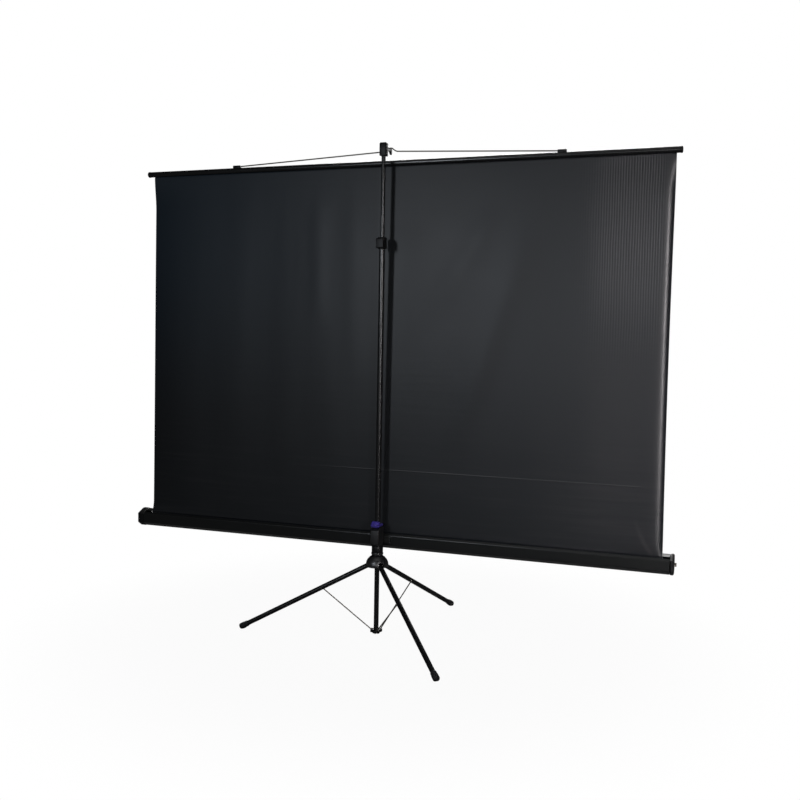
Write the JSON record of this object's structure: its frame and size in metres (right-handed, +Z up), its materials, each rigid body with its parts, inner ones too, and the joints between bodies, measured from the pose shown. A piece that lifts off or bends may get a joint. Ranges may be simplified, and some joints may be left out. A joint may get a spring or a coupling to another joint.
{
  "type": "tripod projection screen",
  "caption": "Portable projection screen on a folding tripod: a telescopic mast, a pull-up cloth in a roller case, a top bar hung by a wire bail, and wire-braced legs.",
  "frame": {"origin": "on the floor, under the middle of the whole outline", "axes": "+Z up, +X along the width, the viewing face of the cloth towards -Y and the mast behind it"},
  "size_m": [2.218, 0.9204, 1.882],
  "materials": {
    "gloss_paint": "gloss",
    "satin_paint": "satin",
    "black_plastic": "satin",
    "violet_plastic": "satin",
    "rubber": "matt",
    "steel": "drawn wire",
    "cloth": "coated vinyl, black back"
  },
  "bodies": {
    "base": {"leg_hub_dome": "black_plastic", "hub_neck_ring": "black_plastic", "leg_pivot_pin_a": "steel", "leg_pivot_pin_b": "steel", "leg_pivot_pin_c": "steel"},
    "centre_rod": {"centre_rod": "gloss_paint", "brace_plate": "black_plastic"},
    "mast": {"outer_mast_tube": "gloss_paint", "mast_lock_collar": "black_plastic", "lever_pin": "steel"},
    "lock_lever": {"mast_lock_lever": "black_plastic"},
    "carriage": {"carriage_body": "black_plastic", "carriage_bush": "black_plastic", "pivot_washer": "steel", "case_pivot_pin": "steel"},
    "release_button": {"release_button": "violet_plastic"},
    "case": {"case_shell": "satin_paint", "case_cap_left": "black_plastic", "case_cap_right": "black_plastic", "case_bracket": "satin_paint", "bracket_rivet_1": "steel", "bracket_rivet_2": "steel", "bracket_rivet_3": "steel", "bracket_rivet_4": "steel", "spring_pin": "steel"},
    "roller": {"roller_tube": "steel", "wound_cloth": "cloth", "roller_plug_left": "black_plastic", "roller_plug_right": "black_plastic"},
    "inner_mast": {"inner_mast_tube": "gloss_paint", "mast_guide_bush": "black_plastic", "mast_head": "black_plastic", "top_bar": "gloss_paint", "bar_cap_left": "black_plastic", "bar_cap_right": "black_plastic", "bail_clip_left": "black_plastic", "bail_clip_right": "black_plastic", "screen_cloth": "cloth"},
    "bail": {"bail_wire": "steel"},
    "leg_a": {"leg_tube_a": "gloss_paint", "leg_foot_a": "rubber"},
    "brace_a": {"brace_wire_a": "steel"},
    "leg_b": {"leg_tube_b": "gloss_paint", "leg_foot_b": "rubber"},
    "brace_b": {"brace_wire_b": "steel"},
    "leg_c": {"leg_tube_c": "gloss_paint", "leg_foot_c": "rubber"},
    "brace_c": {"brace_wire_c": "steel"}
  },
  "joints": [
    {"name": "leg_fold", "type": "slide", "parent": "base", "child": "centre_rod", "axis": [0, 0, -1], "range_m": [0, 0.2048]},
    {"name": "mast_swivel", "type": "hinge", "parent": "base", "child": "mast", "pos_m": [0, 0.06, 0.3], "axis": [0, 0, 1], "continuous": true},
    {"name": "case_height", "type": "slide", "parent": "mast", "child": "carriage", "axis": [0, 0, 1], "range_m": [0, 0.3]},
    {"name": "mast_extension", "type": "slide", "parent": "carriage", "child": "inner_mast", "axis": [0, 0, 1], "range_m": [-0.285, 0.19], "deforming": ["screen_cloth"]},
    {"name": "case_swing", "type": "hinge", "parent": "carriage", "child": "case", "pos_m": [0, 0.03, 0.368], "axis": [0, 1, 0], "range_deg": [-2, 2]},
    {"name": "roller_spin", "type": "hinge", "parent": "case", "child": "roller", "pos_m": [0, -0.01, 0.367], "axis": [1, 0, 0], "range_deg": [-745, 497]},
    {"name": "lock_lever_flip", "type": "hinge", "parent": "mast", "child": "lock_lever", "pos_m": [0, 0.081, 1.52], "axis": [1, 0, 0], "range_deg": [0, 95]},
    {"name": "button_press", "type": "slide", "parent": "carriage", "child": "release_button", "axis": [0, -1, 0], "range_m": [0, 0.004], "stiffness_N_per_m": 600},
    {"name": "bail_swing", "type": "hinge", "parent": "inner_mast", "child": "bail", "pos_m": [0, -0.006, 1.833], "axis": [1, 0, 0], "range_deg": [-2, 2]},
    {"name": "leg_a_hinge", "type": "hinge", "parent": "base", "child": "leg_a", "pos_m": [0.02627, 0.06626, 0.278], "axis": [-0.2317, 0.9728, 0], "range_deg": [0, 54.2]},
    {"name": "brace_a_hinge", "type": "hinge", "parent": "leg_a", "child": "brace_a", "pos_m": [0.21034, 0.11011, 0.17379], "axis": [0.2317, -0.9728, 0], "range_deg": [0, 97.56]},
    {"name": "leg_b_hinge", "type": "hinge", "parent": "base", "child": "leg_b", "pos_m": [-0.01855, 0.07962, 0.278], "axis": [-0.7266, -0.6871, 0], "range_deg": [0, 54.2]},
    {"name": "brace_b_hinge", "type": "hinge", "parent": "leg_b", "child": "brace_b", "pos_m": [-0.14857, 0.2171, 0.17379], "axis": [0.7266, 0.6871, 0], "range_deg": [0, 97.56]},
    {"name": "leg_c_hinge", "type": "hinge", "parent": "base", "child": "leg_c", "pos_m": [-0.00771, 0.03413, 0.278], "axis": [0.9583, -0.2857, 0], "range_deg": [0, 54.2]},
    {"name": "brace_c_hinge", "type": "hinge", "parent": "leg_c", "child": "brace_c", "pos_m": [-0.06177, -0.14721, 0.17379], "axis": [-0.9583, 0.2857, 0], "range_deg": [0, 97.56]}
  ],
  "couplings": [
    {"joint": "roller_spin", "follows": "mast_extension", "rad_per_m": 45.455},
    {"joint": "leg_a_hinge", "follows": "leg_fold", "rad_per_m": 4.6018},
    {"joint": "brace_a_hinge", "follows": "leg_fold", "rad_per_m": 8.297},
    {"joint": "leg_b_hinge", "follows": "leg_fold", "rad_per_m": 4.6018},
    {"joint": "brace_b_hinge", "follows": "leg_fold", "rad_per_m": 8.297},
    {"joint": "leg_c_hinge", "follows": "leg_fold", "rad_per_m": 4.6018},
    {"joint": "brace_c_hinge", "follows": "leg_fold", "rad_per_m": 8.297}
  ]
}
